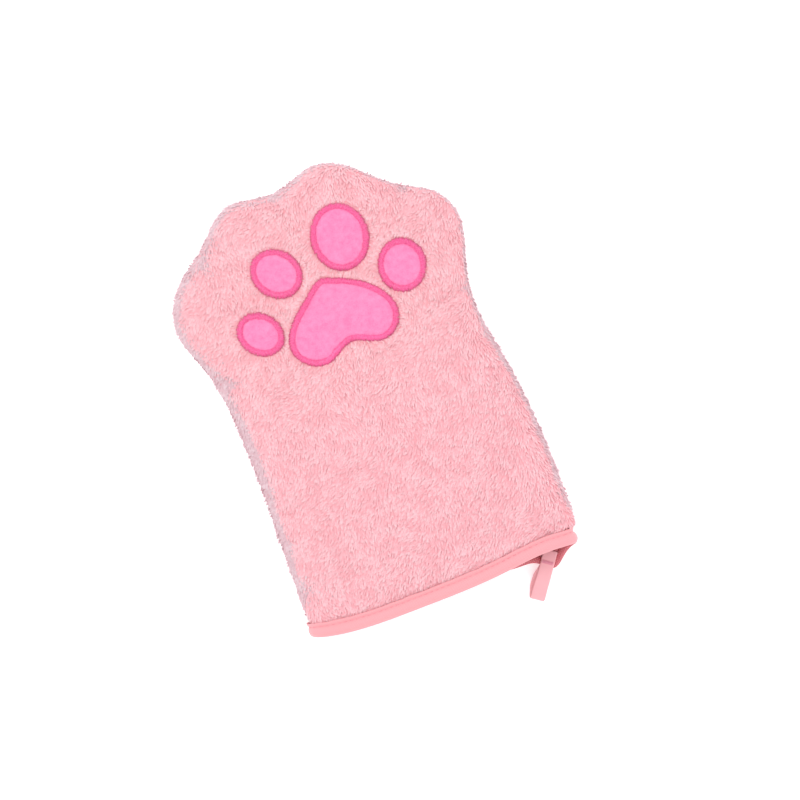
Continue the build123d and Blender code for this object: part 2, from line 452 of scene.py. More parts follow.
LEFT_HEM, LEFT_SHOULDER = math.radians(233.6), math.radians(131)
RIGHT_SHOULDER, RIGHT_HEM = math.radians(48), math.radians(-58.2)
EDGE_COUNT = 900
edge = np.array([edge_at(angle)[:2] for angle in np.linspace(LEFT_HEM, RIGHT_HEM, EDGE_COUNT)])
print("edge", round(float(run_along(edge)[-1]) / MM), "mm long")

# %% [markdown]
# The mouth is a flat ring: two long hems joined by tight turns at the side seams. Half of the
# tape's stack of layers is taken off all round, which leaves the middle line of the hem. The hem's
# own height along Y differs from place to place, because the loop pulls the back one down.

# %% The mouth's middle line
TAPE_STACK = 2.0 * MM
MOUTH_TURN = 6.0 * MM
TURN_POINTS = 40
RING_COUNT = 1200
HALF_RING = RING_COUNT // 2


def mouth_ring():
    """X, Z and the outward direction round the mouth, from the left seam over the front hem."""
    half_x = (tape_high.x - tape_low.x) / 2 - TAPE_STACK
    half_z = (tape_high.z - tape_low.z) / 2 - TAPE_STACK
    centre_x = (tape_high.x + tape_low.x) / 2
    rows = []
    for turn_x, turn_z, start in ((-1, 1, 180), (1, 1, 90), (1, -1, 0), (-1, -1, -90)):
        for angle in np.radians(np.linspace(start, start - 90, TURN_POINTS)):
            rows.append((centre_x + turn_x * (half_x - MOUTH_TURN) + MOUTH_TURN * math.cos(angle),
                         seam_height + turn_z * (half_z - MOUTH_TURN) + MOUTH_TURN * math.sin(angle),
                         math.cos(angle), math.sin(angle)))
    left = (centre_x - half_x, seam_height, -1, 0)
    rows = np.array([left] + rows + [left])
    run = run_along(rows[:, :2])
    return read_off(rows, np.linspace(0, run[-1], RING_COUNT + 1), run), run[-1]


tape_surface = surface_of("mouth_binding")


def fold_height(x, z):
    """Y of the tape's lower fold at this place round the mouth."""
    return tape_surface.ray_cast(Vector((x, -FAR, z)), Vector((0, 1, 0)))[0].y


ring, ring_length = mouth_ring()
folds = np.array([fold_height(x, z) for x, z in ring[:-1, :2]])
EVEN_OUT = 25
wrapped = np.concatenate([folds[-EVEN_OUT:], folds, folds[:EVEN_OUT]])
folds = np.convolve(wrapped, np.ones(EVEN_OUT) / EVEN_OUT, "same")[EVEN_OUT:-EVEN_OUT]
folds = np.append(folds, folds[0])


def hem_half(side):
    """The mouth's middle line under one wall, from left to right, and its fold's heights."""
    if side > 0:
        return ring[:HALF_RING + 1], folds[:HALF_RING + 1]
    return ring[HALF_RING:][::-1], folds[HALF_RING:][::-1]


print("mouth", round(ring_length / MM), "mm round")


# %% [markdown]
# ## The two fleece walls
#
# Each wall was cut flat and sewn to the other round its edge, so it is one sheet that stands
# nearly upright at the seam, turns over within about a centimetre and then lies flat. A grid is
# stretched between four lines, the hem, the two sides and the toes, as a sail is between its
# ropes. The pile stands outside the knit, but its locks lie down over the seam, so the grid needs
# to keep only about a millimetre inside the frame's edge.

# %% The four lines that hold a wall
PILE_ROOM = 0.9 * MM
TONGUE_INSET = 1.1 * MM
TAPE_WIDTH = 8.9 * MM
ABOVE_TAPE = 12.0 * MM


def inset_line(points, distance):
    """The edge moved inwards, by a distance for each of its points."""
    along = np.gradient(points, axis=0)
    along /= np.linalg.norm(along, axis=1)[:, None]
    inward = np.stack([along[:, 1], -along[:, 0]], axis=1)
    return points + inward * distance[:, None]


tape_top = np.where(edge[:, 0] < 0, folds[0], folds[HALF_RING]) + TAPE_WIDTH
above_tape = ease((edge[:, 1] - tape_top) / ABOVE_TAPE)
seam_line = inset_line(edge, mix(TONGUE_INSET, PILE_ROOM, above_tape))
angles = np.linspace(LEFT_HEM, RIGHT_HEM, EDGE_COUNT)
left_end = int(np.argmin(abs(angles - LEFT_SHOULDER)))
right_end = int(np.argmin(abs(angles - RIGHT_SHOULDER)))
left_side = seam_line[:left_end + 1]
toe_side = seam_line[left_end:right_end + 1]
right_side = seam_line[right_end:][::-1]
print("left, toes and right", [round(float(run_along(line)[-1]) / MM)
                               for line in (left_side, toe_side, right_side)], "mm")

# %% [markdown]
# A wall's height follows from how far each point is from the seam: it turns over in a quarter
# ellipse, is crowned a little in the middle, and then has soft ripples and a few creases that run
# in from the valleys between the toes. The back lies on the table, so all of it is less there.

# %% How high a wall lies
WALL_RISE = 6.6 * MM
RIM_TURN = 13.0 * MM
CROWN = {1: 1.4 * MM, -1: 0.35 * MM}
CROWN_REACH = 30 * MM
RIPPLE = {1: 1.0 * MM, -1: 0.3 * MM}
RIPPLE_REACH = 18 * MM
RIPPLE_LONG, RIPPLE_SHORT = 38 * MM, 17 * MM
CREASE_SHARE = {1: 1, -1: 0.3}
CREASES = (((-0.060, 0.107), (-0.046, 0.074)), ((-0.006, 0.121), (-0.003, 0.100)),
           ((0.062, 0.098), (0.054, 0.074)), ((-0.078, 0.034), (-0.048, 0.026)),
           ((0.076, 0.030), (0.050, 0.026)))
CREASE_DEPTH = 1.3 * MM
CREASE_WIDTH = 4.5 * MM


def crease_depth(x, y):
    """How far the soft folds that run in from the toe valleys and the wrist dip here."""
    depth = np.zeros_like(x)
    for (x0, y0), (x1, y1) in CREASES:
        run = np.array([x1 - x0, y1 - y0])
        share = np.clip(((x - x0) * run[0] + (y - y0) * run[1]) / (run @ run), 0, 1)
        away = np.hypot(x - x0 - share * run[0], y - y0 - share * run[1])
        depth += (1 - 0.7 * share) * np.exp(-(away / CREASE_WIDTH) ** 2)
    return CREASE_DEPTH * depth


def swell(x, y, size, seed):
    """Smooth random heights from about -1 to 1, with bumps of this size."""
    return np.array([noise.noise(Vector((a / size, b / size, seed))) for a, b in zip(x, y)])


def height_over_seam(x, y, side, away):
    """How far a wall lies from the seam's level, away being each point's distance from the seam."""
    height = WALL_RISE * np.sqrt(1 - (1 - np.clip(away / RIM_TURN, 0, 1)) ** 2)
    height += ease(away / CROWN_REACH) * CROWN[side]
    ripple = swell(x, y, RIPPLE_LONG, 3.0 + side) + 0.5 * swell(x, y, RIPPLE_SHORT, 9.0 + side)
    height += ease(away / RIPPLE_REACH) * ripple * RIPPLE[side]
    return height - crease_depth(x, y) * CREASE_SHARE[side]


# %% The wall's grid
COLUMNS, ROWS = 84, 112
CROWDING = 0.6
LINE_SAMPLES, SEAM_SAMPLES = 400, 700
CORNER_PULL = 8
UNDER_TAPE = 5.0 * MM
MOUTH_BLEND = 20.0 * MM


def stretched_plan(hem, u, v):
    """X and Y of a grid stretched between the hem, the two sides and the toes."""
    left, right, toes = [read_off(spread(line, LINE_SAMPLES), shares)
                         for line, shares in ((left_side, v), (right_side, v), (toe_side, u))]
    left = left + (hem[0, :2] - left[0]) * (1 - v)[:, None] ** CORNER_PULL
    right = right + (hem[-1, :2] - right[0]) * (1 - v)[:, None] ** CORNER_PULL
    uu, vv = np.meshgrid(u, v)
    uu, vv = uu[..., None], vv[..., None]
    return ((1 - vv) * hem[None, :, :2] + vv * toes[None] + (1 - uu) * left[:, None] + uu * right[:, None]
            - (1 - uu) * (1 - vv) * hem[0, :2] - uu * (1 - vv) * hem[-1, :2]
            - (1 - uu) * vv * toes[0] - uu * vv * toes[-1])


def seam_distance(x, y):
    """How far each grid point is from the seam. The grid's sides and its last row lie on it."""
    seam = np.concatenate([spread(line, SEAM_SAMPLES) for line in (left_side, toe_side, right_side)])
    away = np.array([np.hypot(seam[:, 0] - a, seam[:, 1] - b).min() for a, b in zip(x, y)])
    away = away.reshape(ROWS + 1, COLUMNS + 1)
    away[:, 0] = away[:, -1] = away[-1] = 0
    return away.ravel()


def wall_points(side):
    """The wall's grid points. side is 1 for the front and -1 for the back."""
    s = np.linspace(0, 1, COLUMNS + 1)
    t = np.linspace(0, 1, ROWS + 1)
    u = mix(s, 0.5 - 0.5 * np.cos(np.pi * s), CROWDING)
    v = mix(t, np.sin(np.pi * t / 2), CROWDING)
    half, fold = hem_half(side)
    hem = read_off(np.stack([half[:, 0], fold + TAPE_WIDTH - UNDER_TAPE, half[:, 1]], axis=1), u)
    x, y = stretched_plan(hem, u, v).reshape(-1, 2).T
    z = seam_height + side * height_over_seam(x, y, side, seam_distance(x, y))
    hem_y, hem_z = np.tile(hem[:, 1:], (ROWS + 1, 1)).T
    near_mouth = 1 - ease((y - hem_y - UNDER_TAPE) / MOUTH_BLEND)
    return np.stack([x, y, mix(z, hem_z, near_mouth)], axis=1)


# %% [markdown]
# ## Where the embroidery holds the cloth
#
# The frame holds each pad and each ring of stitches as a plain solid. Rays sent inwards and
# outwards find a ring's two edges, which everything else about the motif is measured from.

# %% Finding a pad's ring
PADS = ["palm_pad"] + [f"toe_pad_{toe}" for toe in ("outer_left", "inner_left", "inner_right", "outer_right")]
PAD_COUNT = 180
STITCH_BAND = 3.3 * MM


def pad_ring(pad):
    """The middle of a pad, and its ring's outer and inner edge, as rows of X and Y."""
    low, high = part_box(f"{pad}_border")
    tree = surface_of(f"{pad}_border")
    middle = Vector(((low.x + high.x) / 2, (low.y + high.y) / 2, (low.z + high.z) / 2))
    outer, inner = [], []
    for angle in np.linspace(0, 2 * np.pi, PAD_COUNT + 1):
        away = Vector((math.cos(angle), math.sin(angle), 0))
        outer.append(tree.ray_cast(middle + away * FAR, -away)[0][:2])
        inner.append(tree.ray_cast(middle, away)[0][:2])
    return np.array(middle[:2]), np.array(outer), np.array(inner)


rings = {pad: pad_ring(pad) for pad in PADS}


def pad_gap(x, y):
    """How far each point lies outside the nearest ring, and the direction away from that pad."""
    gap = np.full(len(x), FAR)
    away = np.zeros((len(x), 3))
    for middle, outer, inner in rings.values():
        reach = np.linalg.norm(outer - middle, axis=1)
        offset = np.column_stack([x - middle[0], y - middle[1], 0 * x])
        angle = np.arctan2(offset[:, 1], offset[:, 0]) % (2 * np.pi)
        length = np.linalg.norm(offset, axis=1)
        here = length - np.interp(angle, np.linspace(0, 2 * np.pi, PAD_COUNT + 1), reach)
        nearer = here < gap
        gap[nearer] = here[nearer]
        away[nearer] = (offset / np.maximum(length, MM)[:, None])[nearer]
    return gap, away


# %% [markdown]
# ## Letting the walls settle
#
# The walls above are a formula, and cloth isn't. A short cloth simulation blows each wall up a
# little from inside, with its border sewn down, the hem held under its tape and the embroidery
# holding the front back, because dense stitching is much stiffer than plush. So the plush swells
# between the pads and puckers beside them. Moves are eased off towards a cap that no point may
# pass, which keeps the wall in the space of its solid. The result is kept as the wall's shape.

# %% Cloth simulation
SETTLE_FRAMES = 18
SETTLE_CAP = 1.6 * MM
PRESSURE = 1.2
EASE_IN_CLOTH = 0.008
STITCH_HOLD = 0.75


def held_points(skin, side):
    """How firmly each point is held: 1 at the border and under the tape, less under the stitches."""
    points = points_of(skin)
    held = np.zeros(len(points))
    columns = np.tile(np.arange(COLUMNS + 1), ROWS + 1)
    rows = np.repeat(np.arange(ROWS + 1), COLUMNS + 1)
    held[(columns == 0) | (columns == COLUMNS) | (rows == 0) | (rows == ROWS)] = 1
    hem = points[:COLUMNS + 1, 1][columns]
    held[points[:, 1] < hem + UNDER_TAPE] = 1
    if side > 0:
        stitched = abs(pad_gap(points[:, 0], points[:, 1])[0] + STITCH_BAND / 2) < STITCH_BAND / 2
        held[stitched] = np.maximum(held[stitched], STITCH_HOLD)
    return held


def settle_cloth(skin, side):
    """The wall after a short simulation, each move eased off below the cap."""
    before = points_of(skin)
    group = skin.vertex_groups.new(name="held")
    for index, weight in enumerate(held_points(skin, side)):
        group.add([index], float(weight), "REPLACE")
    cloth = skin.modifiers.new("Cloth", "CLOTH")
    cloth.settings.quality = 6
    cloth.settings.vertex_group_mass = "held"
    cloth.settings.use_pressure = True
    cloth.settings.uniform_pressure_force = PRESSURE
    cloth.settings.effector_weights.gravity = 0
    cloth.settings.shrink_min = -EASE_IN_CLOTH
    for frame_number in range(1, SETTLE_FRAMES + 1):
        bpy.context.scene.frame_set(frame_number)
    only(skin)
    bpy.ops.object.modifier_apply(modifier=cloth.name)
    bpy.context.scene.frame_set(1)
    skin.vertex_groups.clear()
    move = points_of(skin) - before
    length = np.linalg.norm(move, axis=1)
    share = SETTLE_CAP * np.tanh(length / SETTLE_CAP) / np.maximum(length, 1e-9)
    print(skin.name, "settled by", round(float(length.mean()) / MM, 2), "mm on average, at most",
          round(float((length * share).max()) / MM, 2), "mm kept")
    return set_points(skin, before + move * share[:, None])


# %% [markdown]
# The knit itself is a millimetre thick. Solidify gives it that thickness inwards, and its
# second material slot puts the jersey side, the one the hand feels, on the inside.

# %% The knit walls
KNIT_THICKNESS = 1.1 * MM


def flip(piece):
    """Faces turned over, so that they point out of the mitt."""
    return edit_whole(piece, bpy.ops.mesh.flip_normals)


def knit_wall(name, side):
    """One wall's surface, one face thick, pointing out of the mitt."""
    piece = grid(name, COLUMNS, ROWS, plush_ground)
    set_points(piece, wall_points(side))
    if side < 0:
        flip(piece)
    return piece


front_skin = settle_cloth(knit_wall("front_skin", 1), 1)
back_skin = settle_cloth(knit_wall("back_skin", -1), -1)


def thicken(skin, name):
    """A copy of the skin with the knit's thickness, its inner side in jersey."""
    piece = copy_of(skin, name)
    # The inner side's darker jersey is partly painted shade.
    piece.data.materials.append(backing_knit_and_painted_shade)
    apply_modifier(piece, "SOLIDIFY", thickness=KNIT_THICKNESS, offset=-1, material_offset=1)
    smooth(piece, 60)
    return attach(piece, "mitt")


allowance = frame["nodes"]["side_seam"]
allowance.data.materials.clear()
allowance.data.materials.append(overlock_knit)
front_fleece = thicken(front_skin, "front_fleece")
back_fleece = thicken(back_skin, "back_fleece")
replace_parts(front_fleece, "front_panel")
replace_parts(back_fleece, "back_panel")


# %% [markdown]
# ## The embroidered paw
#
# A motif like this is cut from short-pile velour, tacked to the plush and then sewn round with a
# dense satin stitch, which presses the pile flat under it. A patch is a grid whose one side is
# wrapped round the ring and whose other side is gathered to a point in the middle, crowned a
# little. Its edge dips under the stitches.

# %% How high the cloth lies
def tree_of(piece):
    """A search tree over one piece's own surface."""
    return BVHTree.FromPolygons([vertex.co for vertex in piece.data.vertices],
                                [list(face.vertices) for face in piece.data.polygons])


front_tree = tree_of(front_skin)


def skin_height(x, y):
    """How high the front wall's knit lies at each place."""
    heights = []
    for a, b in zip(x, y):
        hit = front_tree.ray_cast(Vector((a, b, 0.1)), Vector((0, 0, -1)))[0]
        heights.append(hit.z if hit else seam_height)
    return np.array(heights)


# %% Patches
PAD_LIFT = 0.95 * MM
PAD_CROWN = 0.7 * MM
PAD_RIPPLE, PAD_RIPPLE_SIZE = 0.25 * MM, 9 * MM
PAD_THICKNESS = 0.9 * MM
PAD_UNDER_STITCH = 0.2
PAD_RINGS = 26


def merge_seams(piece, distance=0.02 * MM):
    """Doubled points on a wrapped grid's seam and pole joined, and its faces turned outwards."""
    return edit_whole(piece, lambda: bpy.ops.mesh.remove_doubles(threshold=distance), face_outwards)


def pad_patch(pad):
    """One velour patch, with a thickness, lying in its ring."""
    middle, outer, inner = rings[pad]
    piece = grid(f"{pad}_velour", PAD_COUNT, PAD_RINGS, pad_velour)
    u, v = points_of(piece)[:, 0], points_of(piece)[:, 1]
    reach = read_off(mix(inner, outer, PAD_UNDER_STITCH), u)
    share = np.sin(v * np.pi / 2)
    plan = middle + (reach - middle) * share[:, None]
    ripple = swell(plan[:, 0], plan[:, 1], PAD_RIPPLE_SIZE, 20.0) * PAD_RIPPLE
    height = PAD_LIFT + PAD_CROWN * (1 - share ** 4) + ripple * (1 - share ** 6)
    z = skin_height(plan[:, 0], plan[:, 1]) + height
    set_points(piece, np.column_stack([plan, z]))
    merge_seams(piece)
    if sum(face.normal.z * face.area for face in piece.data.polygons) < 0:
        flip(piece)
    apply_modifier(piece, "SOLIDIFY", thickness=PAD_THICKNESS, offset=-1)
    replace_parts(smooth(piece, 70), pad)
    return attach(piece, "mitt")


patches = [pad_patch(pad) for pad in PADS]
print(len(patches), "patches")

# %% [markdown]
# Satin stitch is hundreds of threads side by side, each one an arch from the inner edge to the
# outer edge. A thread is a thin tube along a short line of points, and the next place round the
# ring gives the next line. Small differences in length, height and slant keep it from looking
# drawn. Both ends of a thread go down into the cloth, and its outer end has a darker material:
# painted shade along the ring's outer edge.

# %% Threads
def tubes(name, lines, radius, *materials, sides=5):
    """Every line of points as a closed thin tube, all in one mesh. All lines have as many points.
    A second material, if there is one, is for the tube's first stretch and both its end caps."""
    lines = np.asarray(lines)
    count, length = lines.shape[:2]
    along = np.gradient(lines, axis=1)
    along /= np.linalg.norm(along, axis=2)[..., None]
    up = np.zeros_like(along)
    up[..., 2] = 1
    steep = abs(along[..., 2]) > 0.9
    up[steep] = (0, 1, 0)
    across = np.cross(along, up)
    across /= np.linalg.norm(across, axis=2)[..., None]
    up = np.cross(across, along)
    turn = np.linspace(0, 2 * np.pi, sides, endpoint=False)
    around = (np.cos(turn)[:, None] * across[:, :, None, :] + np.sin(turn)[:, None] * up[:, :, None, :])
    thin = np.ones(length)
    thin[0] = thin[-1] = 0.55
    verts = (lines[:, :, None, :] + around * radius * thin[None, :, None, None]).reshape(-1, 3)
    faces = []
    block = [[low + s, low + (s + 1) % sides, low + sides + (s + 1) % sides, low + sides + s]
             for low in range(0, (length - 1) * sides, sides) for s in range(sides)]
    caps = [list(range(sides))[::-1], [(length - 1) * sides + s for s in range(sides)]]
    for index in range(count):
        base = index * length * sides
        faces += [[base + corner for corner in face] for face in block + caps]
    mesh = bpy.data.meshes.new(name)
    mesh.from_pydata(verts.tolist(), [], faces)
    for material in materials:
        mesh.materials.append(material)
    if len(materials) > 1:
        ends = [index < sides for index in range(len(block))] + [True, True]
        mesh.polygons.foreach_set("material_index", np.tile(np.array(ends, dtype=int), count))
    piece = bpy.data.objects.new(name, mesh)
    bpy.context.scene.collection.objects.link(piece)
    return smooth(edit_whole(piece, face_outwards), 70)


# %% Satin-stitched rings
THREAD_PITCH = 0.5 * MM
THREAD_RADIUS = 0.27 * MM
BORDER_LIFT = 1.0 * MM
BORDER_DOME = 0.8 * MM
THREAD_POINTS = 7
STITCH_SPILL, UNEVEN_SPILL = 1.06, 0.09
STITCH_REACH_IN = 0.13
UNEVEN_SLANT, UNEVEN_LIFT = 0.15 * MM, 0.06 * MM
END_SINK = 0.8 * MM


def satin_ring(pad, seed):
    """One pad's ring of satin stitches."""
    chance = np.random.default_rng(seed)
    middle, outer, inner = rings[pad]
    centre_line = (outer + inner) / 2
    count = int(run_along(centre_line)[-1] / THREAD_PITCH)
    place = spread(np.column_stack([centre_line, outer, inner]), count + 1)[:-1]
    outer_end, inner_end = place[:, 2:4], place[:, 4:6]
    inner_end = inner_end + (inner_end - outer_end) * STITCH_REACH_IN
    share = np.linspace(0, 1, THREAD_POINTS)[None, :, None]
    slant = chance.normal(0, UNEVEN_SLANT, (count, 1, 2))
    stretch = STITCH_SPILL + chance.normal(0, UNEVEN_SPILL, (count, 1, 1))
    half = (outer_end - inner_end)[:, None] * (share - 0.5) * stretch
    plan = ((outer_end + inner_end) / 2)[:, None] + half + slant * (share - 0.5) * 2
    ground = skin_height(place[:, 0], place[:, 1])[:, None]
    dome = np.sin(np.pi * np.linspace(0, 1, THREAD_POINTS)) ** 0.7
    lift = chance.normal(0, UNEVEN_LIFT, (count, 1))
    z = ground + BORDER_LIFT + (BORDER_DOME + lift) * dome - END_SINK * (1 - dome)
    lines = np.concatenate([plan, z[..., None]], axis=2)[:, ::-1]
    # The darker second material is painted shade at the outer ends.
    piece = tubes(f"{pad}_satin", lines, THREAD_RADIUS, satin_thread, satin_painted_shade)
    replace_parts(piece, f"{pad}_border")
    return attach(piece, "mitt")


satin = [satin_ring(pad, 100 + index) for index, pad in enumerate(PADS)]
print(sum(len(piece.data.polygons) for piece in satin), "faces of satin stitch")

# %% [markdown]
# Behind the motif lies the stabiliser that the needle went through: a thin nonwoven with its
# corners cut round. It rests against the knit's inner side and is seen only up the mouth.

# %% The stabiliser behind the motif
BACKING_GAP = 0.15 * MM
BACKING_THICKNESS = 0.35 * MM
backing_low, backing_high = [np.array(corner)[:2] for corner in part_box("embroidery_backing")]
backing_half = (backing_high - backing_low) / 2
backing_middle = (backing_high + backing_low) / 2
stabiliser = grid("stabiliser", 40, 32, nonwoven)
square = points_of(stabiliser)[:, :2] * 2 - 1
pull = np.maximum(abs(square[:, 0]), abs(square[:, 1]))
length = np.linalg.norm(square, axis=1)
rounder = np.where(length > 0, pull / np.maximum(length, 1e-9), 1)
plan = backing_middle + square * backing_half * mix(1, rounder ** 0.6, 0.8)[:, None]
level = skin_height(plan[:, 0], plan[:, 1]) - KNIT_THICKNESS - BACKING_GAP
set_points(stabiliser, np.column_stack([plan, level]))
apply_modifier(stabiliser, "SOLIDIFY", thickness=BACKING_THICKNESS, offset=-1)
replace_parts(smooth(stabiliser, 60), "embroidery_backing")
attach(stabiliser, "mitt")
print("stabiliser", [round(float(v) / MM) for v in backing_half * 2], "mm")


# %% [markdown]
# ## The hem's binding
#
# The binding is one length of tape folded over the raw hem and sewn down with a single row of
# topstitch. A grid is wrapped round the mouth, and its rows run down the outer leg, round the
# fold and up the inner leg. The stitch line pinches the tape, the free edge beyond it lifts,
# and the cloth between stitch and fold stays full. The side turned in to the mouth gets the
# darker jersey, painted shade for the inside of the mouth. Solidify then gives it all a tape's
# thickness.

# %% The tape's section
LEG_OFFSET = 1.55 * MM
FOLD_START = 0.45 * MM
STITCH_LINE = 6.4 * MM
PINCH = 0.75 * MM
LEG_FULL = 0.5 * MM
LEG_ROWS = 13


def leg_profile():
    """The tape's section: offset from the hem's middle line and height above the fold."""
    rise = np.linspace(TAPE_WIDTH - 0.2 * MM, FOLD_START + LEG_OFFSET, LEG_ROWS)
    full = LEG_FULL * np.sin(np.pi * np.clip((STITCH_LINE - rise) / STITCH_LINE, 0, 1)) ** 2
    pinch = PINCH * np.exp(-((rise - STITCH_LINE) / (0.8 * MM)) ** 2)
    leg = LEG_OFFSET + full - pinch
    bend = np.radians(np.linspace(0, 180, 9))[1:-1]
    fold_off = LEG_OFFSET * np.cos(bend)
    fold_rise = FOLD_START + LEG_OFFSET * (1 - np.sin(bend))
    return (np.concatenate([leg, fold_off, -leg[::-1]]), np.concatenate([rise, fold_rise, rise[::-1]]))


offsets, rises = leg_profile()
section = run_along(np.column_stack([offsets, rises]))
print("tape", round(float(section[-1]) / MM, 1), "mm wide before it is folded")


# %% The tape wrapped round the mouth
RING_COLUMNS = 340
WAVE, PUCKER = 0.35 * MM, 0.18 * MM
WAVES_ROUND, PUCKERS_ROUND = 8, 40
FREE_FROM = 0.7 * STITCH_LINE


def ring_frame(share):
    """Point, outward direction and fold height at each share of the way round the mouth."""
    place = np.linspace(0, 1, RING_COUNT + 1)
    x, z, nx, nz = (np.interp(share, place, column) for column in ring.T)
    size = np.hypot(nx, nz)
    return x, z, nx / size, nz / size, np.interp(share, place, folds)


def swell_round(share, waves, seed):
    """Smooth random heights that meet where the tape's ends do."""
    angle = 2 * np.pi * share
    return swell(waves * np.cos(angle), waves * np.sin(angle), 1.0, seed)


def lay_weave(piece, along, across):
    """A UV map in metres, so that the weave follows the tape."""
    layer = piece.data.uv_layers.new(name="weave")
    corners = np.empty(len(piece.data.loops), dtype=int)
    piece.data.loops.foreach_get("vertex_index", corners)
    layer.data.foreach_set("uv", np.column_stack([along[corners], across[corners]]).ravel())
    return piece


binding = grid("hem_binding", RING_COLUMNS, len(offsets) - 1, binding_weave)
round_share, row_share = points_of(binding)[:, :2].T
x, z, nx, nz, fold = ring_frame(round_share)
row = row_share * (len(offsets) - 1)
profile = np.column_stack([offsets, rises, section])
offset, rise, across_tape = read_off(profile, row, np.arange(len(offsets))).T
lay_weave(binding, round_share * ring_length, across_tape)
wavy = swell_round(round_share, WAVES_ROUND, 4.0) * WAVE
pucker = swell_round(round_share, PUCKERS_ROUND, 7.0) * PUCKER
free_edge = ease((rise - FREE_FROM) / (TAPE_WIDTH - FREE_FROM))
offset = offset + np.sign(offset) * (pucker + 0.3 * wavy * free_edge)
rise = rise + wavy * free_edge
set_points(binding, np.column_stack([x + nx * offset, fold + rise, z + nz * offset]))
print("binding", round(float(np.ptp(round_share) * ring_length) / MM), "mm round")

# %% The turned-in side, and the tape's thickness
TAPE_THICKNESS = 0.75 * MM
PAINTED_SHADE_FROM_FRONT, PAINTED_SHADE_FROM_BACK = LEG_ROWS + 4, LEG_ROWS + 1
# The turned-in side gets the darker jersey, painted shade for the inside of the mouth.
binding.data.materials.append(backing_knit_and_painted_shade)
for face in binding.data.polygons:
    front_half = round_share[face.vertices[0]] < 0.5
    painted_shade_from = PAINTED_SHADE_FROM_FRONT if front_half else PAINTED_SHADE_FROM_BACK
    turned_in = np.mean([row[corner] for corner in face.vertices]) > painted_shade_from
    face.material_index = 1 if turned_in else 0
merge_seams(binding)
apply_modifier(binding, "SOLIDIFY", thickness=TAPE_THICKNESS, offset=0)
apply_modifier(binding, "SUBSURF", levels=1, render_levels=1)
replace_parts(smooth(binding, 80), "mouth_binding")
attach(binding, "mitt")
print("binding", len(binding.data.polygons), "faces")

# %% [markdown]
# The topstitch is a run of short straight stitches, each sunk at both ends where the thread
# goes down through the tape. One line of points makes a stitch, and the ring gives each its place.

# %% Topstitch
STITCH_PITCH = 3.3 * MM
STITCH_LENGTH = 2.6 * MM
STITCH_RADIUS = 0.24 * MM
STITCH_LIFT = 0.42 * MM
STITCH_SINK = 0.32 * MM
STITCH_POINTS = 6


def topstitch(name, direction, node=None):
    """A row of stitches round the mouth, on the outer leg for 1 and the inner leg for -1."""
    count = int(ring_length / STITCH_PITCH)
    bow = np.linspace(-0.5, 0.5, STITCH_POINTS)
    share = (np.arange(count)[:, None] + 0.5) / count + bow[None] * STITCH_LENGTH / ring_length
    x, z, nx, nz, fold = ring_frame(share % 1)
    sink = STITCH_SINK * (2 * bow[None]) ** 4
    out = direction * (LEG_OFFSET - PINCH + STITCH_LIFT - sink)
    lines = np.stack([x + nx * out, fold + STITCH_LINE + 0 * bow[None], z + nz * out], axis=2)
    piece = tubes(name, lines, STITCH_RADIUS, seam_thread)
    if node:
        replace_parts(piece, node)
    print(name, count, "stitches")
    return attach(piece, "mitt")


topstitch("outer_topstitch", 1, "binding_stitching")
topstitch("inner_topstitch", -1)

# %% [markdown]
# ## The hanging loop
#
# The loop is one strap: up from the sewn end, out past the hem, round the fold and back under
# itself to the other end. It is drawn as one grid along that path, so that the tape's weave
# runs on through the fold.

# %% The loop's path
loop_joint = frame["joints"][0]
hinge = np.array(loop_joint["pos_m"])
hinge_axis = np.array(loop_joint["axis"], dtype=float)
hinge_axis /= np.linalg.norm(hinge_axis)
upward = np.array([0, 0, 1.0])
outward = np.cross(upward, hinge_axis)
tab_low, tab_high = [np.array(corner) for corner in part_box("loop_tab")]
if (hinge - (tab_low + tab_high) / 2)[:2] @ outward[:2] < 0:
    outward = -outward
LOOP_REACH = 16.6 * MM
TAB_REACH = 12.0 * MM
LOOP_THICKNESS = 0.85 * MM
FOLD_RADIUS = 1.15 * MM
FLOOR_GAP = 0.15 * MM
fold_centre = FLOOR_GAP + FOLD_RADIUS + LOOP_THICKNESS / 2
tab_level = hinge[2] + 0.45 * MM
LOOP_ROWS, LOOP_COLUMNS = 90, 8


def loop_path():
    """Distance out from the hinge and height of the tape's middle, from its upper end to its lower."""
    upper = [(-TAB_REACH, tab_level), (-4 * MM, tab_level),
             (-1 * MM, tab_level), (2 * MM, tab_level - 0.15 * MM), (6 * MM, tab_level - 1.0 * MM),
             (10 * MM, fold_centre + FOLD_RADIUS + 0.5 * MM),
             (12.5 * MM, fold_centre + FOLD_RADIUS + 0.1 * MM)]
    bend = [(LOOP_REACH - FOLD_RADIUS + FOLD_RADIUS * math.cos(a), fold_centre + FOLD_RADIUS * math.sin(a))
            for a in np.radians(np.linspace(80, -80, 9))]
    lower = [(11 * MM, fold_centre - FOLD_RADIUS + 0.35 * MM), (8 * MM, fold_centre - FOLD_RADIUS + 0.9 * MM),
             (5 * MM, 2.6 * MM), (2 * MM, 4.1 * MM), (-0.5 * MM, tab_level - 1.05 * MM),
             (-4 * MM, tab_level - 1.0 * MM), (-TAB_REACH, tab_level - 1.0 * MM)]
    return np.array(upper + bend + lower)


path = spread(loop_path(), LOOP_ROWS + 1)
loop_length = run_along(path)[-1]
print("loop tape", round(float(loop_length) / MM), "mm from end to end")

